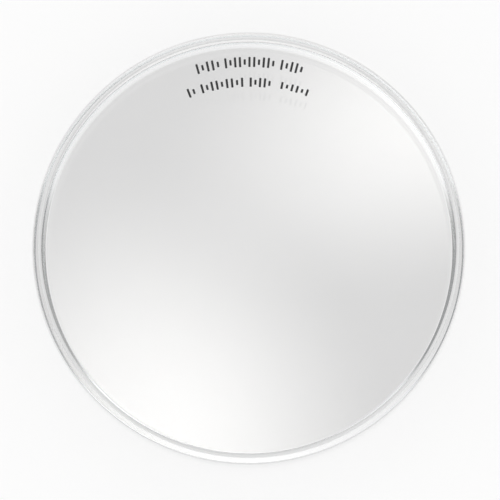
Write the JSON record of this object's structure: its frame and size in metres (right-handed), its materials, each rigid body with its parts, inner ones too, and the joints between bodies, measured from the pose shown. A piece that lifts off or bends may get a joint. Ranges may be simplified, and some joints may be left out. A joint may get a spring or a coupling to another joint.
{
  "type": "dental milling disc",
  "caption": "Round clear acrylic blank with a clamping collar round its middle, cut by a dental milling machine.",
  "frame": {"origin": "centre of the lower face, which the disc rests on", "axes": "+Z along the disc's axis, from the lower face to the upper face; the disc is the same all round, so X and Y are free"},
  "size_m": [0.0984, 0.0984, 0.02],
  "materials": {
    "clear_acrylic": "clear acrylic, turned all over and polished on its faces"
  },
  "bodies": {
    "root": {"milling_disc": "clear_acrylic"}
  },
  "joints": []
}
